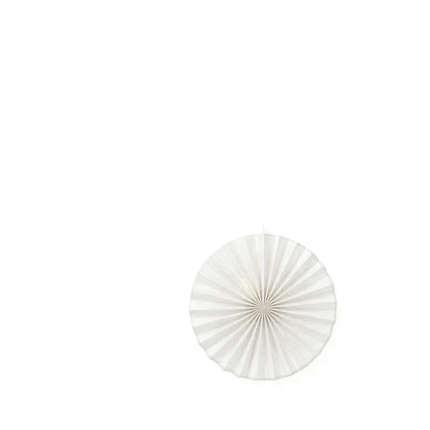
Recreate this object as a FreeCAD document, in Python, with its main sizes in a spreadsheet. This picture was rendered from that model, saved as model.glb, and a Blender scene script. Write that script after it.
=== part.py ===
import FreeCAD, Part
import math
import os
import Sketcher

# Paper fan rosette: one long strip of paper in sharp pleats, opened round a hub until
# its two ends meet. Each end is glued to a stiff strip of card. The two cards stand face
# to face at the top, held by an adhesive strip, and reach past the rim as the tab that
# the rosette hangs by. A thread through all the pleats gathers them at the hub.
#
# Frame: the disc stands in the XZ plane and faces -Y, and +Z runs from the hub to the
# tab. The origin is the middle of the hanging hole. Lengths are in millimetres. While the
# pieces are made, the hub is at zero: seat() moves each one down to its place.

# Driving sizes: name, value, what it is.
SIZES = (
    ("disc_diameter", 230.0, "across the opened rosette"),
    ("pleat_count", 25, "creases that point backwards, all the way round"),
    ("rim_depth", 14.0, "front creases to back creases, along Y, at the rim"),
    ("uneven_opening", 6.2, "degrees that a crease lags behind its even place, at most"),
    ("paper_thickness", 0.1, "the pleated paper"),
    ("crease_gap", 0.02, "air inside a pleat that is pressed shut"),
    ("card_thickness", 0.9, "one end card"),
    ("tab_height", 16.5, "cards standing past the rim"),
    ("tab_corner_radius", 3.0, "outer corners of the tab"),
    ("hanging_hole_diameter", 4.0, "punched through both cards"),
    ("hanging_hole_drop", 7.0, "top of the tab to the middle of the hole"),
    ("adhesive_thickness", 0.15, "double-sided strip between the cards"),
    ("adhesive_width", 12.0, "along Y"),
    ("adhesive_margin", 5.0, "from the hub end of the cards, and from the rim"),
    ("thread_diameter", 0.4, "binding thread"),
    ("thread_clearance", 0.05, "all round the thread, in the punched paper"),
    ("thread_margin", 1.8, "edge of the hub hole to the thread's middle line"),
    ("card_foot_gap", 0.6, "thread to the hub end of the cards"),
)

# Flat stretches that a leg is made of from the hub to the rim, to follow its twist, and
# how closely they crowd towards the hub (1 is evenly).
LEG_STRETCHES = 10
HUB_CROWDING = 1.6
# Rounds that settle the step between creases; each leaves about a thirtieth of the error.
STEP_ROUNDS = 12
# Where the pleats lag most, as a share of the way round from the right card, and how
# sharply the lag rises to it and falls from it.
LAG_PLACE = 0.77
LAG_SHARPNESS = 1.5
# Length of the punch through a leg, in thicknesses of the paper, and its flat sides.
PUNCH_REACH = 5
PUNCH_SIDES = 8
# The sheet's front and back skins, as sides of its middle line.
FRONT_SKIN = -1
BACK_SKIN = 1

doc = FreeCAD.newDocument("PaperFanRosette")


# Sizes

def add_sizes():
    """Put the driving sizes in a spreadsheet, one a row, with its name as alias."""
    sheet = doc.addObject("Spreadsheet::Sheet", "Sizes")
    for row, (name, value, note) in enumerate(SIZES, start=1):
        add_size(sheet, row, name, value, note)
    doc.recompute()
    return sheet


def add_size(sheet, row, name, value, note):
    """Write one size, its name and what it is."""
    sheet.set(f"A{row}", name)
    sheet.set(f"B{row}", str(value))
    sheet.set(f"C{row}", note)
    sheet.setAlias(f"B{row}", name)


def size(name):
    """Read a size from the spreadsheet."""
    return float(sizes.get(name))


sizes = add_sizes()

pleat_count = int(size("pleat_count"))
paper = size("paper_thickness")
rim_radius = size("disc_diameter") / 2
# A crease is a flat as wide as the paper and the air in a shut pleat.
crease_width = paper + size("crease_gap")
# The paper's ends lie on the outer faces of the cards.
card_face = size("adhesive_thickness") / 2 + size("card_thickness")
# Middle of the crease that folds the paper round the front edge of a card.
seam_crease = card_face + (paper + crease_width) / 2
# A leg is the paper between two creases. At the rim it spans the depth and one step.
pleat_depth = math.hypot(size("rim_depth"), math.pi * rim_radius / pleat_count - crease_width)
# The smallest circle on which all the legs lie side by side, with the seam between them.
packed_radius = pleat_count * crease_width / math.pi + seam_crease / 2
hub_radius = max(packed_radius, seam_crease + crease_width)
thread_ring = hub_radius + size("thread_margin")

# Two sizes worked out above bind other solids, so they go in the spreadsheet too.
add_size(sizes, len(SIZES) + 1, "pleat_depth", pleat_depth, "worked out: width of a leg")
add_size(sizes, len(SIZES) + 2, "thread_ring", thread_ring, "worked out: hub to thread")
doc.recompute()

RIM = "Sizes.disc_diameter / 2"
CARD_FACE = "(Sizes.adhesive_thickness / 2 + Sizes.card_thickness)"
CARD_FOOT = "(Sizes.thread_ring + Sizes.thread_diameter / 2 + Sizes.card_foot_gap)"
HANGING_HOLE = f"({RIM} + Sizes.tab_height - Sizes.hanging_hole_drop)"


def seat(piece, label):
    """Name a finished piece and move it down, so that the hanging hole is the origin."""
    piece.Label = label
    piece.setExpression("Placement.Base.z", f"-{HANGING_HOLE}")
    return piece


# Section of the pleated sheet

def half_depth(step):
    """Half the depth of the pleats where neighbouring creases are this step apart."""
    return math.sqrt(pleat_depth**2 - (step - crease_width)**2) / 2


def seam_step(step):
    """Step from a card's crease, which keeps its full depth, to the first free crease."""
    fall = pleat_depth / 2 + half_depth(step)
    return crease_width + math.sqrt(pleat_depth**2 - fall**2)


def free_arc(radius):
    """Length of the circle from the right card's crease to the left card's."""
    return 2 * radius * (math.pi - math.asin(seam_crease / radius))


def whole_turn(radius):
    """Distance round from the middle of the seam back to it, straight beside the cards."""
    return free_arc(radius) + 2 * seam_crease


def crease_step(radius):
    """Even distance from one free crease to the next.

    The free arc is shared by two steps beside the cards and the rest.
    """
    step = free_arc(radius) / (2 * pleat_count)
    for _ in range(STEP_ROUNDS):
        step = (free_arc(radius) - 2 * seam_step(step)) / (2 * pleat_count - 2)
    return step


def lag(crease):
    """Angle at the rim from a crease to its even place.

    It grows from nothing at the right card's crease, and falls back to nothing at the left
    card's.
    """
    share = crease / (2 * pleat_count)
    skew = math.log(0.5) / math.log(LAG_PLACE)
    return math.radians(size("uneven_opening")) * math.sin(math.pi * share**skew)**LAG_SHARPNESS


def crease_places(radius):
    """Distance round to every crease, from the right card's to the left card's."""
    step = crease_step(radius)
    first = seam_crease + seam_step(step)
    # The creases are packed at the hub and run straight from there.
    opened = radius - hub_radius
    places = [first + number * step - lag(number + 1) * opened for number in range(2 * pleat_count - 1)]
    return [seam_crease, *places, whole_turn(radius) - seam_crease]


def crease_backs(places):
    """Distance of every crease behind the disc's middle plane, front creases below zero.

    A leg keeps its width, so it reaches less deep where its creases are further apart. A
    free crease takes the mean of its two legs. The cards' creases keep their full depth.
    """
    reaches = []
    for place, next_place in zip(places, places[1:]):
        reaches.append(math.sqrt(pleat_depth**2 - (next_place - place - crease_width)**2))
    backs = []
    for crease, (reach, next_reach) in enumerate(zip(reaches, reaches[1:]), start=1):
        side = 1 if crease % 2 else -1
        backs.append(side * (reach + next_reach) / 4)
    backs[0] = reaches[0] - pleat_depth / 2
    backs[-1] = reaches[-1] - pleat_depth / 2
    return [-pleat_depth / 2, *backs, -pleat_depth / 2]


def middle_line(radius):
    """Section of the sheet at this radius, as (round, back) corners.

    It runs from the free edge behind the right card, over the front edge of the card,
    through the pleats, and over the left card to the other free edge. Each crease is a
    short flat with a corner at both ends. "Round" is the distance round the circle from
    the seam, and "back" is the distance behind the disc's middle plane.
    """
    places = crease_places(radius)
    edge = seam_crease - crease_width / 2
    corners = [(edge, pleat_depth / 2)]
    for place, back in zip(places, crease_backs(places)):
        corners.append((place - crease_width / 2, back))
        corners.append((place + crease_width / 2, back))
    corners.append((whole_turn(radius) - edge, pleat_depth / 2))
    return corners


def offset_line(corners, side):
    """Move a line of corners sideways by half the paper, mitred at each corner."""
    normals = []
    for (x0, y0), (x1, y1) in zip(corners, corners[1:]):
        length = math.hypot(x1 - x0, y1 - y0)
        normals.append(((y0 - y1) / length, (x1 - x0) / length))
    moved = []
    for (x, y), before, after in zip(corners, normals[:1] + normals, normals + normals[-1:]):
        reach = side * paper / 2 / (1 + before[0] * after[0] + before[1] * after[1])
        moved.append((x + reach * (before[0] + after[0]), y + reach * (before[1] + after[1])))
    return moved


def place_on_circle(radius, round_place, back):
    """Point of the sheet: flat against the right card, round the circle, then flat again."""
    still_to_go = whole_turn(radius) - round_place
    if still_to_go < seam_crease:
        return mirrored(place_on_circle(radius, still_to_go, back))
    if round_place <= seam_crease:
        return FreeCAD.Vector(round_place, back, math.sqrt(radius**2 - round_place**2))
    angle = math.asin(seam_crease / radius) + (round_place - seam_crease) / radius
    return FreeCAD.Vector(radius * math.sin(angle), back, radius * math.cos(angle))


def mirrored(point):
    """The point's place on the other side of the seam."""
    return FreeCAD.Vector(-point.x, point.y, point.z)


def skin_line(radius, side):
    """Corners of one skin at this radius, all the way round from card to card."""
    corners = offset_line(middle_line(radius), side)
    return [place_on_circle(radius, place, back) for place, back in corners]


# Pleated sheet

def flat_faces(line, next_line):
    """Band between two lines of as many points, as two flat triangles for each stretch."""
    faces = []
    for first, second, third, fourth in zip(line, line[1:], next_line[1:], next_line):
        for triangle in ((first, second, third), (first, third, fourth)):
            faces.append(Part.Face(Part.makePolygon([*triangle, first])))
    return faces


def make_paper_solid():
    """Sheet of even thickness: a front and a back skin, closed along its four edges."""
    stations = [(number / LEG_STRETCHES)**HUB_CROWDING for number in range(LEG_STRETCHES + 1)]
    radii = [hub_radius + (rim_radius - hub_radius) * station for station in stations]
    front = [skin_line(radius, FRONT_SKIN) for radius in radii]
    back = [skin_line(radius, BACK_SKIN) for radius in radii]
    faces = []
    for skin in (front, back):
        for line, next_line in zip(skin, skin[1:]):
            faces += flat_faces(line, next_line)
    for edge in (0, -1):
        faces += flat_faces(front[edge], back[edge])
        faces += flat_faces([line[edge] for line in front], [line[edge] for line in back])
    shell = Part.makeShell(faces)
    shell.sewShape()
    solid = Part.makeSolid(shell)
    if solid.Volume < 0:
        solid.reverse()
    return solid


def make_punch(centre):
    """Short rod with flat sides, in line with the thread where it goes through a leg."""
    across = size("thread_diameter") / 2 + size("thread_clearance")
    corner_radius = across / math.cos(math.pi / PUNCH_SIDES)
    outward = FreeCAD.Vector(centre.x, 0, centre.z).normalize()
    backward = FreeCAD.Vector(0, 1, 0)
    axis = outward.cross(backward) * PUNCH_REACH * paper
    corners = []
    for number in range(PUNCH_SIDES + 1):
        angle = 2 * math.pi * number / PUNCH_SIDES
        spoke = outward * math.cos(angle) + backward * math.sin(angle)
        corners.append(centre + spoke * corner_radius - axis / 2)
    return Part.Face(Part.makePolygon(corners)).extrude(axis)


def make_punches():
    """One punch for each leg, where its middle line crosses the thread's ring."""
    corners = middle_line(thread_ring)
    punches = []
    for (start, start_back), (end, end_back) in zip(corners[0::2], corners[1::2]):
        crossing = start + (end - start) * start_back / (start_back - end_back)
        punches.append(make_punch(place_on_circle(thread_ring, crossing, 0)))
    return punches


def add_pleated_sheet():
    """The paper, with a hole punched through every leg for the thread."""
    sheet = doc.addObject("Part::Feature", "PleatedSheet")
    sheet.Shape = make_paper_solid().cut(make_punches())
    return seat(sheet, "pleated_sheet")


# Cards and adhesive strip

def add_upright(body_name, foot, top, width):
    """Body with a rectangle in its YZ plane, upright and centred on the hub's axis.

    The foot, the top and the width are expressions on the sizes.
    """
    body = doc.addObject("PartDesign::Body", body_name)
    sketch = body.newObject("Sketcher::SketchObject", f"{body_name}Outline")
    planes = [plane for plane in body.Origin.OriginFeatures if plane.Role == "YZ_Plane"]
    sketch.AttachmentSupport = [(planes[0], "")]
    sketch.MapMode = "FlatFace"
    half = pleat_depth / 2
    corners = [FreeCAD.Vector(-half, thread_ring, 0), FreeCAD.Vector(half, thread_ring, 0)]
    corners += [FreeCAD.Vector(half, rim_radius, 0), FreeCAD.Vector(-half, rim_radius, 0)]
    for start, end in zip(corners, corners[1:] + corners[:1]):
        sketch.addGeometry(Part.LineSegment(start, end))
    bottom, right, upper, left = range(4)
    for line, next_line in ((bottom, right), (right, upper), (upper, left), (left, bottom)):
        sketch.addConstraint(Sketcher.Constraint("Coincident", line, 2, next_line, 1))
    for line in (right, left):
        sketch.addConstraint(Sketcher.Constraint("Vertical", line))
    sketch.addConstraint(Sketcher.Constraint("Horizontal", upper))
    sketch.addConstraint(Sketcher.Constraint("Symmetric", bottom, 1, bottom, 2, -2))
    bind(sketch, Sketcher.Constraint("DistanceX", bottom, 1, bottom, 2, 2 * half), width)
    bind(sketch, Sketcher.Constraint("DistanceY", -1, 1, bottom, 1, thread_ring), foot)
    bind(sketch, Sketcher.Constraint("DistanceY", -1, 1, upper, 1, rim_radius), top)
    return body, sketch


def bind(sketch, constraint, expression):
    """Add a measured constraint and tie it to an expression on the sizes."""
    number = sketch.addConstraint(constraint)
    sketch.setExpression(f"Constraints[{number}]", expression)


def pad(body, sketch, start, thickness):
    """Thicken the outline along +X, from this distance along X."""
    sketch.setExpression("AttachmentOffset.Base.z", start)
    solid = body.newObject("PartDesign::Pad", f"{body.Name}Pad")
    solid.Profile = sketch
    solid.setExpression("Length", thickness)
    sketch.Visibility = False
    doc.recompute()
    return solid


def tab_corners(shape):
    """Names of the short edges, square to the card, at its two upper corners."""
    top = shape.BoundBox.ZMax
    names = []
    for number, edge in enumerate(shape.Edges, start=1):
        ends = [vertex.Point for vertex in edge.Vertexes]
        level = all(math.isclose(end.z, top) for end in ends)
        if level and math.isclose(ends[0].y, ends[-1].y):
            names.append(f"Edge{number}")
    return names


def add_end_card(label, start):
    """Stiff strip from the hub, past the rim, with the hanging hole in its rounded tab."""
    body_name = label.title().replace("_", "")
    body, sketch = add_upright(body_name, CARD_FOOT, f"{RIM} + Sizes.tab_height", "Sizes.pleat_depth")
    hole_radius = size("hanging_hole_diameter") / 2
    hole = sketch.addGeometry(
        Part.Circle(FreeCAD.Vector(0, rim_radius, 0), FreeCAD.Vector(0, 0, 1), hole_radius))
    sketch.addConstraint(Sketcher.Constraint("PointOnObject", hole, 3, -2))
    bind(sketch, Sketcher.Constraint("Diameter", hole, 2 * hole_radius), "Sizes.hanging_hole_diameter")
    bind(sketch, Sketcher.Constraint("DistanceY", -1, 1, hole, 3, rim_radius), HANGING_HOLE)
    card = pad(body, sketch, start, "Sizes.card_thickness")
    rounding = body.newObject("PartDesign::Fillet", f"{body_name}Rounding")
    rounding.Base = (card, tab_corners(card.Shape))
    rounding.setExpression("Radius", "Sizes.tab_corner_radius")
    return seat(body, label)


def add_adhesive_strip():
    """Double-sided strip between the cards, short of both the hub and the rim."""
    foot = f"{CARD_FOOT} + Sizes.adhesive_margin"
    top = f"{RIM} - Sizes.adhesive_margin"
    body, sketch = add_upright("AdhesiveStrip", foot, top, "Sizes.adhesive_width")
    pad(body, sketch, "-Sizes.adhesive_thickness / 2", "Sizes.adhesive_thickness")
    return seat(body, "adhesive_strip")


# Thread

def add_binding_thread():
    """Closed loop of thread round the hub, through all the legs at half their depth."""
    thread = doc.addObject("Part::Torus", "BindingThread")
    thread.setExpression("Radius1", "Sizes.thread_ring")
    thread.setExpression("Radius2", "Sizes.thread_diameter / 2")
    thread.Placement.Rotation = FreeCAD.Rotation(FreeCAD.Vector(1, 0, 0), 90)
    return seat(thread, "binding_thread")


# Checks and files

def check(pieces):
    """Stop if any object failed, or if a piece's solid is missing or broken."""
    for item in doc.Objects:
        if "Invalid" in item.State or "Error" in item.State:
            raise RuntimeError(f"{item.Label} failed: {item.State}")
    for piece in pieces:
        if piece.Shape.isNull() or not piece.Shape.isValid() or not piece.Shape.Solids:
            raise RuntimeError(f"{piece.Label} has no valid solid")


def build():
    """Make every piece, check them all and write one file for each."""
    pieces = [
        add_pleated_sheet(),
        add_end_card("end_card_right", "Sizes.adhesive_thickness / 2"),
        add_end_card("end_card_left", f"-{CARD_FACE}"),
        add_adhesive_strip(),
        add_binding_thread(),
    ]
    doc.recompute()
    check(pieces)
    os.makedirs("parts", exist_ok=True)
    for piece in pieces:
        piece.Shape.exportStep(f"parts/{piece.Label}.step")
        print(f"{piece.Label}: {piece.Shape.Volume:.2f} mm3")


build()
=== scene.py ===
"""The looks of the paper fan rosette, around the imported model: paper, cards, adhesive and thread.

All sizes are in metres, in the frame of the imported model: +Z up from the hub to the tab, the
front towards -Y, +X to the right, and the origin at the hanging hole.
"""

import math

import bpy
import numpy as np
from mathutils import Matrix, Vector


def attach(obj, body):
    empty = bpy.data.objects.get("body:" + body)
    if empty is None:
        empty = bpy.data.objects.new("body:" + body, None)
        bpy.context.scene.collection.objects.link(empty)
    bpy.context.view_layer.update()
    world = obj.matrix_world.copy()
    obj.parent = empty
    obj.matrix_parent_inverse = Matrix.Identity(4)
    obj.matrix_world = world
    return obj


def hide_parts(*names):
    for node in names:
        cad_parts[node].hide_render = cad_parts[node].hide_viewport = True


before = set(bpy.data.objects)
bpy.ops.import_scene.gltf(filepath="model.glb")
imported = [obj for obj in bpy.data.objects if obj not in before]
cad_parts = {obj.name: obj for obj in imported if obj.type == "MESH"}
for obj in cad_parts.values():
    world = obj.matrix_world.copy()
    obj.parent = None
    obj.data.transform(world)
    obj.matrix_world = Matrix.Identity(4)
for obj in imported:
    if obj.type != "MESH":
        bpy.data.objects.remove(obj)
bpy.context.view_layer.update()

MM = 0.001
# The least length that a vector is divided by
TINY = 1e-12

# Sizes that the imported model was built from
RIM_RADIUS = 115.0 * MM
PLEAT_COUNT = 25
RIM_DEPTH = 14.0 * MM
PAPER_THICKNESS = 0.1 * MM
CREASE_GAP = 0.02 * MM
CARD_THICKNESS = 0.9 * MM
ADHESIVE_THICKNESS = 0.15 * MM
HOLE_TO_HUB = 124.5 * MM
THREAD_MARGIN = 1.8 * MM
CREASE_WIDTH = PAPER_THICKNESS + CREASE_GAP
CARD_FACE = ADHESIVE_THICKNESS / 2 + CARD_THICKNESS
CARD_SIDE = CARD_FACE + PAPER_THICKNESS / 2
SEAM_CREASE = CARD_FACE + (PAPER_THICKNESS + CREASE_WIDTH) / 2
RIM_ARC = math.pi * RIM_RADIUS / PLEAT_COUNT
PLEAT_DEPTH = math.hypot(RIM_DEPTH, RIM_ARC - CREASE_WIDTH)
PACKED_RADIUS = PLEAT_COUNT * CREASE_WIDTH / math.pi + SEAM_CREASE / 2
HUB_RADIUS = max(PACKED_RADIUS, SEAM_CREASE + CREASE_WIDTH)
THREAD_RING = HUB_RADIUS + THREAD_MARGIN
HUB = (0.0, 0.0, -HOLE_TO_HUB)
# How often the step between creases is corrected until it fits the arc
STEP_ROUNDS = 12

# How fine the paper's mesh is, and how much finer towards the hub
RADIAL_ROWS = 44
HUB_CROWDING = 1.9
# Stations of a rounded fold: parts of its bulb's quarter turn, then distances past the bulb
FOLD_TURNS = np.radians([0.0, 30.0, 60.0, 90.0])
PAST_FOLD = np.array([0.4, 1.1, 2.2, 4.5]) * MM

# How unevenly the pleats opened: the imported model's lag, and a slight jitter on top of it
UNEVEN_OPENING = math.radians(6.2)
LAG_PLACE = 0.77
LAG_SHARPNESS = 1.5
LAG_SKEW = math.log(0.5) / math.log(LAG_PLACE)
CREASE_JITTER = math.radians(0.45)
CREASE_SWAY = math.radians(0.5)
LEG_BOW = 0.7 * MM
LEG_WAVE = 0.5 * MM
LEG_GROWTH = 1.5
PAPER_SEED = 7

# The rim: how far the ridges reach out, where the rim is scalloped, and how ragged it is
RIM_RAGGED = 0.3 * MM
RIM_RIDGES_OUT = 0.3 * MM
RIM_SCALLOPS = 0.6 * MM
RIM_GROWTH = 3
SCALLOPS_ANGLE = math.radians(228.0)
SCALLOPS_SPREAD = math.radians(42.0)
# How far the fold at the seam stays behind the cards' front edges
SEAM_STEP_BACK = 2.2 * MM

# How the folds spring: each is a small bulb, wider than the shut pleat behind it
FOLD_RADIUS = 0.85 * MM
FOLD_SHARE = 0.58
FOLD_FADE = 4.0 * MM
FOLD_LEAST = PAPER_THICKNESS / 10

# The coordinates that the paper's and the thread's materials read
PAPER_LAYER = "pleat"
THREAD_LAYER = "ply"
# Width in that layer, in legs, of the turn where an end of the paper goes round its card's edge
CARD_TURN = 0.01

# The thread: its plies, its ring, its knot and its two loose ends
PLY_COUNT = 3
PLY_SIDES = 10
PLY_RADIUS = 0.09 * MM
PLY_OFFSET = 0.105 * MM
# A direction that no part of the thread runs along, from which the plies' angles are counted
PLY_LEAN = np.array([1.0, 1.0, 1.0]) / math.sqrt(3.0)
RING_STATIONS = 520
RING_TWISTS = 26
KNOT_STATIONS = 200
KNOT_TWISTS = 8
KNOT_WIDTH = 0.42 * MM
KNOT_SWING = 0.2 * MM
# How far forward the loose ends lie, and the share of their stations that leads up to the coil
TAIL_FRONT = -10.8 * MM
COIL_START = 0.2
# Each loose end: stations, twists, angle of the coil, and its first and last radius
LOOSE_ENDS = (
    (900, 90, math.radians(1220.0), 2.7 * MM, 1.35 * MM),
    (200, 20, math.radians(-38.0), 3.1 * MM, 3.3 * MM),
)

# Colours of the paper: open at the rim; painted light, paler where the pleats narrow, for light
# passed from fold to fold; and painted warm bounce light at the hub
PAPER_WHITE = (0.945, 0.941, 0.918, 1.0)
# The darker end of the paper's tone: partly its own grain, partly painted shade of fine wrinkles
PAPER_GRAIN_AND_WRINKLE_SHADE = (0.85, 0.845, 0.818, 1.0)
# Painted light: paper paler where the pleats narrow, for light passed from fold to fold
PAPER_PAINTED_LIGHT_WHITE = (0.98, 0.971, 0.945, 1.0)
PAPER_PAINTED_LIGHT_SHADE = (0.955, 0.946, 0.917, 1.0)
# Painted light: warmer, brighter paper at the hub, for warm light bounced in the packed folds
PAPER_PAINTED_BOUNCE_LIGHT = (0.975, 0.942, 0.848, 1.0)
PAINTED_BOUNCE_REACH = 32.0 * MM
PAINTED_LIGHT_REACH = 72.0 * MM
# Colours of the other pieces
CARD_WHITE = (0.99, 0.99, 0.985, 1.0)
CARD_SHADE = (0.96, 0.96, 0.95, 1.0)
ADHESIVE_CLEAR = (0.80, 0.79, 0.74, 1.0)
ADHESIVE_MILKY = (0.88, 0.87, 0.83, 1.0)
THREAD_WHITE = (0.985, 0.98, 0.96, 1.0)
THREAD_SHADE = (0.93, 0.925, 0.9, 1.0)

# Each noise: its scale, its detail, its roughness, and its stretch along each axis
EVEN = (1.0, 1.0, 1.0)
PAPER_CREASES = (1.0, 2.0, 0.5, (260.0, 14.0, 1.0))
PAPER_GRAIN = (1.0, 4.0, 0.6, (750.0, 35.0, 1.0))
PAPER_CLOUDS = (60.0, 4.0, 0.6, EVEN)
PAPER_FIBRES = (2600.0, 3.0, 0.65, EVEN)
CARD_LAYERS = (1.0, 3.0, 0.6, (9000.0, 220.0, 220.0))
CARD_FIBRES = (1800.0, 3.0, 0.6, EVEN)
ADHESIVE_BUBBLES = (700.0, 2.0, 0.5, EVEN)
THREAD_FIBRES = (1.0, 3.0, 0.7, (160.0, 9.0, 1.0))

# Parts of a noise's range that are spread over the whole of a colour's or roughness's range
SHARP_RANGE = (0.35, 0.65)
SOFT_RANGE = (0.3, 0.7)
WIDE_RANGE = (0.2, 0.8)
BUBBLE_RANGE = (0.4, 0.65)

# Shares of creases, grain and clouds in the paper's tone (the creases' and grain's streaks are
# partly the paper's grain, partly painted shade of fine wrinkles), and of its noises in its relief
PAPER_TONES = (0.4, 0.35, 0.25)
PAPER_RELIEF = (0.6, 0.35, 0.05)
CARD_RELIEF = (0.4, 0.6)
# Each bump: its strength and its depth
PAPER_BUMP = (1.0, 0.6 * MM)
CARD_BUMP = (0.3, 0.05 * MM)
ADHESIVE_BUMP = (0.2, 0.05 * MM)
THREAD_BUMP = (0.5, 0.03 * MM)
# Least and greatest roughness of each finish
PAPER_ROUGHNESS = (0.78, 0.95)
CARD_ROUGHNESS = (0.6, 0.8)
ADHESIVE_ROUGHNESS = (0.25, 0.45)
THREAD_ROUGHNESS = (0.8, 0.95)
PAPER_SHINE = 0.25
CARD_SHINE = 0.3
THREAD_SHEEN = 0.3

# Camera, in the photograph's frame of 430 pixels
FRAME_PIXELS = 430
HUB_PIXEL = (263.1, 307.1)
DISC_PIXELS = 147.2
METRES_PER_PIXEL = 2 * RIM_RADIUS / DISC_PIXELS
CAMERA_DISTANCE = 6.0
CAMERA_CLIP = 50.0
SENSOR = 36.0

# Lamps: name, place, side of the square, and power
LAMPS = (
    ("key", (-2.25, -2.75, 2.45), 2.0, 42.0),
    ("front fill", (0.25, -2.2, 0.15), 0.5, 6.1),
    ("back fill", (0.25, 2.2, 0.15), 0.5, 10.0),
)
WORLD_LIGHT = 0.745
# White pleats are lit by light passed on from fold to fold, so it is followed this often
PAPER_BOUNCES = 12

# The studio's floor and wall
WHITE = (1.0, 1.0, 1.0, 1.0)
FLOOR_COLOUR = (0.8, 0.8, 0.8, 1.0)
WALL_COLOUR = (0.8, 0.79, 0.77, 1.0)
STUDIO_REACH = 4.0
FLOOR_LEVEL = -0.36
WALL_BACK = 12.5 * MM
# Share and strength of the glow near the rosette, and the distances from the hub between which
# both change to one
GLOW_SHARE = 0.45
WHITE_LEVEL = 1.31
SHADE_REACH = 0.25
WHITE_REACH = 1.0


class Socket:
    """A shader socket that takes part in Python expressions, each of which adds its Math node."""

    def __init__(self, tree, link):
        self.tree = tree
        self.link = link

    def node(self, kind, settings=(), output=0, **values):
        """Adds a node and returns one of its outputs, which is given by name or number.

        Each input takes a value or a Socket. It is given by its name, with _ for a space, or by
        i and its number where several inputs have the same name.
        """
        made = self.tree.nodes.new(kind)
        for name, value in dict(settings).items():
            setattr(made, name, value)
        for name, value in values.items():
            numbered = name[0] == "i" and name[1:].isdigit()
            target = made.inputs[int(name[1:]) if numbered else name.replace("_", " ")]
            if isinstance(value, Socket):
                self.tree.links.new(value.link, target)
            else:
                target.default_value = value
        return Socket(self.tree, made.outputs[output])

    def math(self, operation, *values):
        """Adds a Math node on the given values."""
        named = {f"i{place}": value for place, value in enumerate(values)}
        return self.node("ShaderNodeMath", {"operation": operation}, **named)

    def __add__(self, other):
        return self.math("ADD", self, other)

    def __radd__(self, other):
        return self.math("ADD", other, self)

    def __sub__(self, other):
        return self.math("SUBTRACT", self, other)

    def __rsub__(self, other):
        return self.math("SUBTRACT", other, self)

    def __mul__(self, other):
        return self.math("MULTIPLY", self, other)

    def __rmul__(self, other):
        return self.math("MULTIPLY", other, self)

    def fade(self, low, high, start=0.0, end=1.0):
        """Goes smoothly from start to end while the value goes from low to high."""
        values = {"Value": self, "From_Min": low, "From_Max": high, "To_Min": start, "To_Max": end}
        return self.node("ShaderNodeMapRange", {"interpolation_type": "SMOOTHSTEP"}, **values)

    def blend(self, first, second):
        """Mixes two colours, with this value as the share of the second.

        The node's inputs 6 and 7 and its output 2 are the ones for colours.
        """
        settings = {"data_type": "RGBA"}
        return self.node("ShaderNodeMix", settings, 2, i0=self, i6=first, i7=second)


def noise(place, scale, detail, roughness, stretch):
    """Noise between 0 and 1, on a place that is stretched first."""
    stretched = place.node("ShaderNodeMapping", (), Vector=place, Scale=stretch)
    values = {"Vector": stretched, "Scale": scale, "Detail": detail, "Roughness": roughness}
    return place.node("ShaderNodeTexNoise", (), **values)


def mixture(layers, shares):
    """The sum of some values, each times its share."""
    total = layers[0] * shares[0]
    for layer, share in zip(layers[1:], shares[1:]):
        total = total + layer * share
    return total


def relief(height, strength, depth):
    """Turns a height into a normal."""
    values = {"Strength": strength, "Distance": depth, "Height": height}
    return height.node("ShaderNodeBump", (), **values)


def new_material(name):
    """A material with its Principled shader: the material, its socket root and the shader."""
    material = bpy.data.materials.new(name)
    material.use_nodes = True
    tree = material.node_tree
    return material, Socket(tree, None), tree.nodes["Principled BSDF"]


def feed(root, shader, **inputs):
    """Links or sets the shader's sockets."""
    for name, value in inputs.items():
        target = shader.inputs[name.replace("_", " ")]
        if isinstance(value, Socket):
            root.tree.links.new(value.link, target)
        else:
            target.default_value = value


def paper_material():
    """Uncoated off-white paper: fine creases and grain along the pleats, whose darker streaks are
    partly the paper's grain and partly painted shade of fine wrinkles, and cloudy fibre. Its colour
    is painted light towards the hub: paler where the pleats narrow, for light passed from fold to
    fold, and warmer at the hub, for warm light bounced in the packed folds.
    """
    material, root, shader = new_material("pleated_paper")
    along = root.node("ShaderNodeUVMap", {"uv_map": PAPER_LAYER})
    place = root.node("ShaderNodeTexCoord", (), "Object")
    creases = noise(along, *PAPER_CREASES)
    grain = noise(along, *PAPER_GRAIN)
    clouds = noise(place, *PAPER_CLOUDS)
    fibres = noise(place, *PAPER_FIBRES)
    layers = (creases.fade(*SHARP_RANGE), grain.fade(*SHARP_RANGE), clouds.fade(*SOFT_RANGE))
    tone_and_wrinkle_shade = mixture(layers, PAPER_TONES)
    from_hub = along.node("ShaderNodeSeparateXYZ", (), "Y", Vector=along)
    # Painted light: the paper is paler where the pleats narrow, for light passed from fold to fold
    painted_light_share = from_hub.fade(PAINTED_BOUNCE_REACH / 2, PAINTED_LIGHT_REACH, 1.0, 0.0)
    # Painted light: warm bounce light at the hub, fading out towards the rim
    painted_bounce_share = from_hub.fade(HUB_RADIUS, PAINTED_BOUNCE_REACH, 1.0, 0.0)
    # Darker streaks along the pleats: partly the paper's grain, partly painted shade of fine wrinkles
    open_paper = tone_and_wrinkle_shade.blend(PAPER_GRAIN_AND_WRINKLE_SHADE, PAPER_WHITE)
    painted_light_paper = tone_and_wrinkle_shade.blend(PAPER_PAINTED_LIGHT_SHADE, PAPER_PAINTED_LIGHT_WHITE)
    colour = painted_bounce_share.blend(painted_light_share.blend(open_paper, painted_light_paper), PAPER_PAINTED_BOUNCE_LIGHT)
    rough = fibres.fade(*WIDE_RANGE, *PAPER_ROUGHNESS)
    bump = relief(mixture((creases, grain, fibres), PAPER_RELIEF), *PAPER_BUMP)
    feed(root, shader, Base_Color=colour, Roughness=rough, Normal=bump)
    feed(root, shader, Specular_IOR_Level=PAPER_SHINE)
    return material


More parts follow.
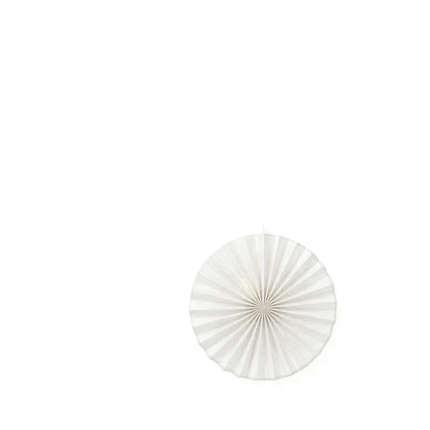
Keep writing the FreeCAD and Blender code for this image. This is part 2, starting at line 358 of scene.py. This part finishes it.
def card_material():
    """White board: smooth faces and a cut edge with fine pressed layers."""
    material, root, shader = new_material("white_card")
    place = root.node("ShaderNodeTexCoord", (), "Object")
    layers = noise(place, *CARD_LAYERS)
    fibres = noise(place, *CARD_FIBRES)
    colour = layers.fade(*SHARP_RANGE).blend(CARD_SHADE, CARD_WHITE)
    rough = fibres.fade(*WIDE_RANGE, *CARD_ROUGHNESS)
    bump = relief(mixture((layers, fibres), CARD_RELIEF), *CARD_BUMP)
    feed(root, shader, Base_Color=colour, Roughness=rough, Normal=bump)
    feed(root, shader, Specular_IOR_Level=CARD_SHINE)
    return material


def adhesive_material():
    """Milky double-sided film with faint bubbles."""
    material, root, shader = new_material("clear_adhesive")
    place = root.node("ShaderNodeTexCoord", (), "Object")
    bubbles = noise(place, *ADHESIVE_BUBBLES)
    colour = bubbles.fade(*BUBBLE_RANGE).blend(ADHESIVE_CLEAR, ADHESIVE_MILKY)
    rough = bubbles.fade(*SOFT_RANGE, *ADHESIVE_ROUGHNESS)
    feed(root, shader, Base_Color=colour, Roughness=rough, Normal=relief(bubbles, *ADHESIVE_BUMP))
    return material


def thread_material():
    """Twisted cotton: fibres run along the plies."""
    material, root, shader = new_material("white_thread")
    place = root.node("ShaderNodeUVMap", {"uv_map": THREAD_LAYER})
    fibres = noise(place, *THREAD_FIBRES)
    colour = fibres.fade(*SOFT_RANGE).blend(THREAD_SHADE, THREAD_WHITE)
    rough = fibres.fade(*WIDE_RANGE, *THREAD_ROUGHNESS)
    feed(root, shader, Base_Color=colour, Roughness=rough, Normal=relief(fibres, *THREAD_BUMP))
    feed(root, shader, Sheen_Weight=THREAD_SHEEN)
    return material


def half_depth(step):
    """Distance from the middle plane to a crease where the creases lie a step apart.

    It is half the square root of (leg width squared - (step - crease width) squared).
    """
    return np.sqrt(PLEAT_DEPTH ** 2 - (step - CREASE_WIDTH) ** 2) / 2


def seam_step(step):
    """Step from the card's front fold to the first valley, whose leg has the same width."""
    reach = PLEAT_DEPTH / 2 + half_depth(step)
    return CREASE_WIDTH + np.sqrt(np.maximum(PLEAT_DEPTH ** 2 - reach ** 2, 0.0))


def crease_step(radius):
    """Step between neighbouring creases at each radius, from the arc that the seam leaves free.

    It is (free arc - the two steps at the seam) / the number of steps between them.
    """
    free_arc = 2 * radius * (math.pi - np.arcsin(SEAM_CREASE / radius))
    step = free_arc / (2 * PLEAT_COUNT)
    for _ in range(STEP_ROUNDS):
        step = (free_arc - 2 * seam_step(step)) / (2 * PLEAT_COUNT - 2)
    return step


def crease_angles_and_backs(radii, draw):
    """The angle and the distance back of every crease at every radius, from the right card's to
    the left card's.

    Even places come first: seam, first step, then equal steps. Each crease lags behind its even
    place by UNEVEN_OPENING * sin(pi * share of the way round ** LAG_SKEW) ** LAG_SHARPNESS, with
    a jitter, times (1 - HUB_RADIUS / radius), and sways a little along its length.
    Legs keep their width: reach = square root of (width squared - gap squared), and a free crease
    takes the mean of its two legs.
    """
    step = crease_step(radii)
    first = seam_step(step)
    seam_angle = np.arcsin(SEAM_CREASE / radii)
    order = np.arange(1, 2 * PLEAT_COUNT)[:, None]
    angles = seam_angle + (first + (order - 1) * step) / radii
    share = order / (2 * PLEAT_COUNT)
    lag = UNEVEN_OPENING * np.sin(math.pi * share ** LAG_SKEW) ** LAG_SHARPNESS
    lag = lag + draw.normal(0.0, 1.0, order.shape) * CREASE_JITTER
    along = (radii - HUB_RADIUS) / (RIM_RADIUS - HUB_RADIUS)
    sway = draw.normal(0.0, 1.0, order.shape) * CREASE_SWAY * np.sin(math.pi * along)
    angles = angles - lag * (1.0 - HUB_RADIUS / radii) + sway * along
    lead = seam_angle[None, :]
    walk = np.concatenate([lead, angles, 2 * math.pi - lead])
    gaps = np.diff(walk, axis=0) * radii
    reaches = np.sqrt(np.maximum(PLEAT_DEPTH ** 2 - (gaps - CREASE_WIDTH) ** 2, 0.0))
    backs = (reaches[:-1] + reaches[1:]) / 4
    backs[0] = reaches[0] - PLEAT_DEPTH / 2
    backs[-1] = reaches[-1] - PLEAT_DEPTH / 2
    return walk, np.where(order % 2, 1.0, -1.0) * backs


def fold_bulb(gap):
    """Radius of the bulb at a fold whose neighbours lie a gap away.

    It is FOLD_RADIUS, or FOLD_SHARE * gap - half the paper where that is less.
    """
    room = np.minimum(FOLD_RADIUS, FOLD_SHARE * gap - PAPER_THICKNESS / 2)
    return np.maximum(room, FOLD_LEAST)


def leg_surface(start, stop, start_side, stop_side, bow, wave, radii):
    """Middle surface of one leg, as an array (across, along, 3), without its last line.

    A point lies on the chord from crease to crease. It is lifted off the chord, towards the
    front, by the bulbs of the two folds, +bulb at a ridge and -bulb at a valley, times
    (1 - gap / PLEAT_DEPTH) squared, so that open folds are sharper. It is also lifted by
    bow * sin(pi * share) + wave * sin(2 * pi * share), times the share of the way from hub to
    rim ** LEG_GROWTH. A bulb starts as a quarter circle, and then fades as
    exp(-(distance / FOLD_FADE) squared).
    """
    chord = stop - start
    length = np.linalg.norm(chord, axis=-1)
    outward = np.gradient(start, axis=0)
    normal = np.cross(chord, outward)
    normal /= np.linalg.norm(normal, axis=-1, keepdims=True)
    gap = np.linalg.norm(chord[:, [0, 2]], axis=-1)
    bulb = fold_bulb(gap)
    quarter = (1 - np.cos(FOLD_TURNS))[:, None] * bulb
    beyond = bulb + PAST_FOLD[:, None]
    near = np.concatenate([quarter, beyond])
    rise = np.sin(FOLD_TURNS)[:, None] * np.ones_like(bulb)
    fall = np.exp(-((PAST_FOLD / FOLD_FADE) ** 2))[:, None] * np.ones_like(bulb)
    near_lift = np.concatenate([rise, fall])
    away = np.concatenate([near, length[None] / 2, (length - near)[:0:-1]])
    middle = np.zeros_like(bulb)[None]
    from_start = np.concatenate([near_lift, middle, 0 * near_lift[:0:-1]])
    from_stop = np.concatenate([0 * near_lift, middle, near_lift[:0:-1]])
    closed = (1 - gap / PLEAT_DEPTH) ** 2
    lift = (start_side * from_start + stop_side * from_stop) * bulb * closed
    share = away / length
    along = ((radii - HUB_RADIUS) / (RIM_RADIUS - HUB_RADIUS)) ** LEG_GROWTH
    lift = lift + along * (bow * np.sin(math.pi * share) + wave * np.sin(2 * math.pi * share))
    return start + chord * share[..., None] + normal * lift[..., None], share


def sheet_rows(radii, draw):
    """Points across the whole sheet at every radius, from one free end of it to the other.

    The two end legs lie flat on the cards. Ridges reach past the rim and valleys stay short of
    it, by RIM_RIDGES_OUT + RIM_SCALLOPS * exp(-((angle - SCALLOPS_ANGLE) / SCALLOPS_SPREAD)
    squared) and a seeded raggedness, times the share of the way from hub to rim ** RIM_GROWTH.
    Returns the points as an array (across, along, 3), and for each point its place across the
    sheet, in legs.
    """
    angles, backs = crease_angles_and_backs(radii, draw)
    free = angles[1:-1]
    creases = np.stack([radii * np.sin(free), backs, radii * np.cos(free)], axis=-1)
    rim_only = ((radii - HUB_RADIUS) / (RIM_RADIUS - HUB_RADIUS)) ** RIM_GROWTH
    sides = np.where(np.arange(len(creases)) % 2, 1.0, -1.0)
    from_scallops = (free[:, -1] - SCALLOPS_ANGLE) / SCALLOPS_SPREAD
    uneven = RIM_RIDGES_OUT + RIM_SCALLOPS * np.exp(-(from_scallops ** 2))
    reach = sides * uneven + draw.normal(0.0, 1.0, len(creases)) * RIM_RAGGED
    creases[..., [0, 2]] *= (1 + reach[:, None] / RIM_RADIUS * rim_only)[..., None]
    height = np.sqrt(radii ** 2 - SEAM_CREASE ** 2)
    fold_back = np.full_like(radii, SEAM_STEP_BACK - PLEAT_DEPTH / 2)
    fold = np.stack([np.full_like(radii, SEAM_CREASE), fold_back, height], -1)
    glued_height = np.sqrt(radii ** 2 - CARD_SIDE ** 2)
    glued_side = np.full_like(radii, CARD_SIDE)
    end = np.stack([glued_side, np.full_like(radii, PLEAT_DEPTH / 2), glued_height], -1)
    turn = np.stack([glued_side, fold_back, glued_height], -1)
    mirror = np.array([-1.0, 1.0, 1.0])
    chain = [fold, *creases, fold * mirror]
    points = [end[None], turn[None]]
    width = [np.full((1, len(radii)), place) for place in (-1.0, -CARD_TURN)]
    count = len(chain) - 1
    for leg in range(count):
        start_side = 0.0 if leg == 0 else (-1.0 if leg % 2 else 1.0)
        stop_side = 0.0 if leg == count - 1 else (1.0 if leg % 2 else -1.0)
        bow, wave = draw.normal(0.0, 1.0, 2) * (LEG_BOW, LEG_WAVE)
        ends = (chain[leg], chain[leg + 1], start_side, stop_side)
        surface, share = leg_surface(*ends, bow, wave, radii)
        points.append(surface)
        width.append(leg + share)
    points += [chain[-1][None], (turn * mirror)[None], (end * mirror)[None]]
    width += [np.full((1, len(radii)), count + extra) for extra in (0.0, CARD_TURN, 1.0)]
    return np.concatenate(points), np.concatenate(width)


def grid_faces(rows, columns, start=0, flip=False):
    """Quads of a grid whose vertices are numbered row by row."""
    lines = np.arange(rows - 1)[:, None] * columns
    corner = (lines + np.arange(columns - 1)[None, :]).ravel() + start
    faces = np.stack([corner, corner + 1, corner + columns + 1, corner + columns], axis=-1)
    return faces[:, ::-1] if flip else faces


def make_mesh(name, points, faces, layer, coordinates):
    """A smooth piece from whole arrays, with one coordinate pair for each vertex as a UV map."""
    mesh = bpy.data.meshes.new(name)
    mesh.from_pydata(points.tolist(), [], faces)
    uv = mesh.uv_layers.new(name=layer)
    corners = np.empty(len(mesh.loops), dtype=np.int32)
    mesh.loops.foreach_get("vertex_index", corners)
    uv.data.foreach_set("uv", coordinates[corners].astype(np.float32).ravel())
    mesh.polygons.foreach_set("use_smooth", np.full(len(mesh.polygons), True))
    mesh.update()
    piece = bpy.data.objects.new(name, mesh)
    bpy.context.scene.collection.objects.link(piece)
    return piece


def surface_normals(points):
    """Unit normals of a grid of points, from its differences in both directions."""
    across = np.gradient(points, axis=0)
    along = np.gradient(points, axis=1)
    normal = np.cross(along, across)
    return normal / np.maximum(np.linalg.norm(normal, axis=-1, keepdims=True), TINY)


def pleated_paper():
    """The one folded sheet, opened into a circle: a front and a back skin, half a paper's thickness
    each side of its middle surface, closed along all four edges.

    The radius of a row is HUB_RADIUS + (RIM_RADIUS - HUB_RADIUS) * share ** HUB_CROWDING.
    """
    draw = np.random.default_rng(PAPER_SEED)
    share = np.linspace(0.0, 1.0, RADIAL_ROWS)
    radii = HUB_RADIUS + (RIM_RADIUS - HUB_RADIUS) * share ** HUB_CROWDING
    middle, width = sheet_rows(radii, draw)
    normal = surface_normals(middle)
    front = middle + normal * PAPER_THICKNESS / 2
    back = middle - normal * PAPER_THICKNESS / 2
    rows, columns = middle.shape[:2]
    count = rows * columns
    points = np.concatenate([front.reshape(-1, 3), back.reshape(-1, 3)])
    points[:, 2] -= HOLE_TO_HUB
    faces = [grid_faces(rows, columns), grid_faces(rows, columns, count, True)]
    index = np.arange(count).reshape(rows, columns)
    edges = ((index[0], False), (index[-1], True), (index[:, 0], True), (index[:, -1], False))
    for edge, flip in edges:
        strip = np.stack([edge[:-1], edge[:-1] + count, edge[1:] + count, edge[1:]], axis=-1)
        faces.append(strip[:, ::-1] if flip else strip)
    across = width * PLEAT_DEPTH
    along = np.broadcast_to(radii[None, :], (rows, columns))
    one_skin = np.stack([across, along], axis=-1).reshape(-1, 2)
    coordinates = np.concatenate([one_skin, one_skin])
    quads = np.concatenate(faces).tolist()
    piece = make_mesh("pleated_paper", points, quads, PAPER_LAYER, coordinates)
    piece.data.materials.append(paper_material())
    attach(piece, "root")
    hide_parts("pleated_sheet")


def dress_cad_nodes():
    """Gives the carried-over nodes their finishes."""
    card = card_material()
    finishes = {"end_card_right": card, "end_card_left": card, "adhesive_strip": adhesive_material()}
    for node, material in finishes.items():
        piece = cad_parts[node]
        piece.data.materials.clear()
        piece.data.materials.append(material)


def unit(vectors):
    """Vectors made one long."""
    return vectors / np.linalg.norm(vectors, axis=-1, keepdims=True)


def smooth(value, low, high):
    """Goes from 0 to 1 while the value goes from low to high: 3 k squared - 2 k cubed."""
    share = np.clip((value - low) / (high - low), 0.0, 1.0)
    return share ** 2 * (3 - 2 * share)


def ply_tubes(path, twists, closed, first):
    """Three plies wound round a path: their points, faces and fibre coordinates.

    A ply's centre is path + PLY_OFFSET * (side * cos(wind) + up * sin(wind)), where the wind grows
    by so many full turns along the path. Round it goes a tube of PLY_RADIUS. The faces' numbers
    start at the first free vertex.
    """
    stations = len(path)
    if closed:
        steps = np.roll(path, -1, axis=0) - np.roll(path, 1, axis=0)
    else:
        steps = np.gradient(path, axis=0)
    ahead = unit(steps)
    side = unit(np.cross(ahead, PLY_LEAN))
    up = np.cross(ahead, side)
    progress = np.arange(stations) / stations
    round_ply = np.linspace(0.0, 2 * math.pi, PLY_SIDES, endpoint=False)
    points, faces, coordinates = [], [], []
    for ply in range(PLY_COUNT):
        wind = 2 * math.pi * (twists * progress + ply / PLY_COUNT)
        centre = path + PLY_OFFSET * (side * np.cos(wind)[:, None] + up * np.sin(wind)[:, None])
        angle = (round_ply[None, :] + wind[:, None])[..., None]
        ring = side[:, None, :] * np.cos(angle) + up[:, None, :] * np.sin(angle)
        points.append((centre[:, None, :] + PLY_RADIUS * ring).reshape(-1, 3))
        index = first + np.arange(stations * PLY_SIDES).reshape(stations, PLY_SIDES)
        first += stations * PLY_SIDES
        following = np.roll(index, -1, axis=0)
        corners = [index, np.roll(index, -1, 1), np.roll(following, -1, 1), following]
        quads = np.stack(corners, axis=-1)
        if closed:
            faces += quads.reshape(-1, 4).tolist()
        else:
            faces += quads[:-1].reshape(-1, 4).tolist()
            faces += [index[0, ::-1].tolist(), index[-1].tolist()]
        pair = np.broadcast_arrays(round_ply[None, :], twists * 2 * math.pi * progress[:, None])
        coordinates.append(np.stack(pair, axis=-1).reshape(-1, 2))
    return np.concatenate(points), faces, np.concatenate(coordinates)


def tail_path(stations, curl, outer, inner):
    """Middle line of one loose end of the thread.

    From the knot it runs forward in the slit under the cards, comes out in front of the pleats
    and lies there in a flat coil round the hub. Depth and distance from the hub go smoothly from
    the knot's to the coil's, and then the distance goes evenly from outer to inner with the angle.
    """
    share = np.linspace(0.0, 1.0, stations)
    coiled = np.clip((share - COIL_START) / (1 - COIL_START), 0.0, 1.0)
    distance = THREAD_RING + (outer - THREAD_RING) * smooth(share, 0.0, COIL_START)
    distance = distance + (inner - outer) * coiled
    depth = TAIL_FRONT * smooth(share, 0.0, COIL_START)
    angle = curl * coiled
    return np.stack([distance * np.sin(angle), depth, distance * np.cos(angle)], axis=-1)


def binding_thread():
    """The thread of twisted plies that gathers the pleats, with its knot and its two loose ends.

    The ring is a circle of THREAD_RING. The knot is a curve that winds three times round a ring
    while going round it twice: (width + swing * cos(3 t)) * (cos(2 t), sin(2 t)), swing * sin(3 t).
    """
    turn = np.linspace(0.0, 2 * math.pi, RING_STATIONS, endpoint=False)
    ring = THREAD_RING * np.stack([np.sin(turn), np.zeros_like(turn), np.cos(turn)], axis=-1)
    wind = np.linspace(0.0, 2 * math.pi, KNOT_STATIONS, endpoint=False)
    width = KNOT_WIDTH + KNOT_SWING * np.cos(3 * wind)
    lobes = [width * np.cos(2 * wind), KNOT_SWING * np.sin(3 * wind), width * np.sin(2 * wind)]
    knot = np.stack(lobes, axis=-1) + np.array([0.0, 0.0, THREAD_RING])
    strands = [(ring, RING_TWISTS, True), (knot, KNOT_TWISTS, True)]
    for stations, twists, curl, outer, inner in LOOSE_ENDS:
        strands.append((tail_path(stations, curl, outer, inner), twists, False))
    points, faces, coordinates = [], [], []
    for path, twists, closed in strands:
        first = sum(len(part) for part in points)
        part_points, part_faces, part_coordinates = ply_tubes(path, twists, closed, first)
        points.append(part_points)
        faces += part_faces
        coordinates.append(part_coordinates)
    points = np.concatenate(points)
    points[:, 2] -= HOLE_TO_HUB
    piece = make_mesh("tied_thread", points, faces, THREAD_LAYER, np.concatenate(coordinates))
    piece.data.materials.append(thread_material())
    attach(piece, "root")
    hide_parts("binding_thread")


def make_camera():
    """A camera straight in front, so far away that the disc shows almost without perspective. The
    frame is the photograph's: its middle lies off the hub by as many pixels as there.
    """
    camera = bpy.data.cameras.new("camera")
    camera.sensor_width = SENSOR
    camera.lens = SENSOR * CAMERA_DISTANCE / (FRAME_PIXELS * METRES_PER_PIXEL)
    camera.clip_end = CAMERA_CLIP
    holder = bpy.data.objects.new("camera", camera)
    right = (FRAME_PIXELS / 2 - HUB_PIXEL[0]) * METRES_PER_PIXEL
    up = (HUB_PIXEL[1] - FRAME_PIXELS / 2) * METRES_PER_PIXEL
    holder.location = (right, -CAMERA_DISTANCE, up - HOLE_TO_HUB)
    holder.rotation_euler = (math.pi / 2, 0.0, 0.0)
    bpy.context.scene.collection.objects.link(holder)
    bpy.context.scene.camera = holder


def make_lamp(name, place, size, power):
    """A square soft lamp that is turned to the hub."""
    lamp = bpy.data.lights.new(name, "AREA")
    lamp.size = size
    lamp.energy = power
    holder = bpy.data.objects.new(name, lamp)
    holder.location = place
    way = Vector(HUB) - Vector(place)
    holder.rotation_euler = way.to_track_quat("-Z", "Y").to_euler()
    bpy.context.scene.collection.objects.link(holder)


def seen_directly(root):
    """One for rays from the camera, a mirror or clear glass, and nought for those that light things."""
    path = root.tree.nodes.new("ShaderNodeLightPath")
    seen = Socket(root.tree, path.outputs["Is Camera Ray"])
    mirrored = Socket(root.tree, path.outputs["Is Glossy Ray"])
    through = Socket(root.tree, path.outputs["Is Transmission Ray"])
    return root.math("MAXIMUM", root.math("MAXIMUM", seen, mirrored), through)


def make_world():
    """An even white sky: it lights the scene at WORLD_LIGHT and shows as plain white."""
    world = bpy.data.worlds.new("sky")
    world.use_nodes = True
    tree = world.node_tree
    sky = tree.nodes["Background"]
    sky.inputs["Color"].default_value = WHITE
    level = WORLD_LIGHT + seen_directly(Socket(tree, None)) * (1.0 - WORLD_LIGHT)
    tree.links.new(level.link, sky.inputs["Strength"])
    bpy.context.scene.world = world


def studio_material(name, colour, front_only=False):
    """A matte surface of the studio that shows as plain white where nothing shades it.

    A share of it glows, but only to rays that see it directly, so it adds no light to the rosette.
    The share grows from GLOW_SHARE, near the rosette, to the whole, far from it, so that only the
    near part takes a shadow. Behind the hub it doesn't glow, so that the hub's small hole is dark.
    """
    material = bpy.data.materials.new(name)
    material.use_nodes = True
    tree = material.node_tree
    tree.nodes.clear()
    root = Socket(tree, None)
    matte = root.node("ShaderNodeBsdfDiffuse", (), Color=colour)
    place = root.node("ShaderNodeTexCoord", (), "Object")
    hub = (0.0, WALL_BACK, -HOLE_TO_HUB)
    distance = {"operation": "DISTANCE"}
    from_hub = root.node("ShaderNodeVectorMath", distance, "Value", i0=place, i1=hub)
    level = from_hub.fade(SHADE_REACH, WHITE_REACH, WHITE_LEVEL, 1.0)
    white = root.node("ShaderNodeEmission", (), Color=WHITE, Strength=level)
    outside = from_hub.fade(RIM_RADIUS / 4, RIM_RADIUS / 2)
    glow = from_hub.fade(SHADE_REACH, WHITE_REACH, GLOW_SHARE, 1.0)
    share = outside * glow * seen_directly(root)
    shown = root.node("ShaderNodeMixShader", (), i0=share, i1=matte, i2=white)
    if front_only:
        turned = root.node("ShaderNodeNewGeometry", (), "Backfacing")
        clear = root.node("ShaderNodeBsdfTransparent")
        shown = root.node("ShaderNodeMixShader", (), i0=turned, i1=shown, i2=clear)
    output = tree.nodes.new("ShaderNodeOutputMaterial")
    tree.links.new(shown.link, output.inputs["Surface"])
    return material


def make_stage_sheet(name, corners, material):
    """A flat sheet of the studio."""
    mesh = bpy.data.meshes.new(name)
    mesh.from_pydata(corners, [], [(0, 1, 2, 3)])
    mesh.materials.append(material)
    sheet = bpy.data.objects.new(name, mesh)
    bpy.context.scene.collection.objects.link(sheet)
    return sheet


def make_studio():
    """A white floor under the hanging rosette, and the white wall that it hangs against.

    The wall shows from its front only and takes the rosette's shadow, but it neither gives nor
    holds back light, so that the rosette can be looked at from behind.
    """
    reach = STUDIO_REACH
    floor = [(-reach, -reach, FLOOR_LEVEL), (reach, -reach, FLOOR_LEVEL),
             (reach, reach, FLOOR_LEVEL), (-reach, reach, FLOOR_LEVEL)]
    make_stage_sheet("floor", floor, studio_material("floor", FLOOR_COLOUR))
    wall = [(-reach, WALL_BACK, FLOOR_LEVEL), (reach, WALL_BACK, FLOOR_LEVEL),
            (reach, WALL_BACK, reach), (-reach, WALL_BACK, reach)]
    sheet = make_stage_sheet("wall", wall, studio_material("wall", WALL_COLOUR, True))
    sheet.visible_diffuse = False
    sheet.visible_glossy = False
    sheet.visible_shadow = False


make_camera()
make_world()
for lamp_row in LAMPS:
    make_lamp(*lamp_row)
bpy.context.scene.cycles.diffuse_bounces = PAPER_BOUNCES
make_studio()
pleated_paper()
dress_cad_nodes()
binding_thread()

bpy.context.scene.view_settings.view_transform = "Standard"
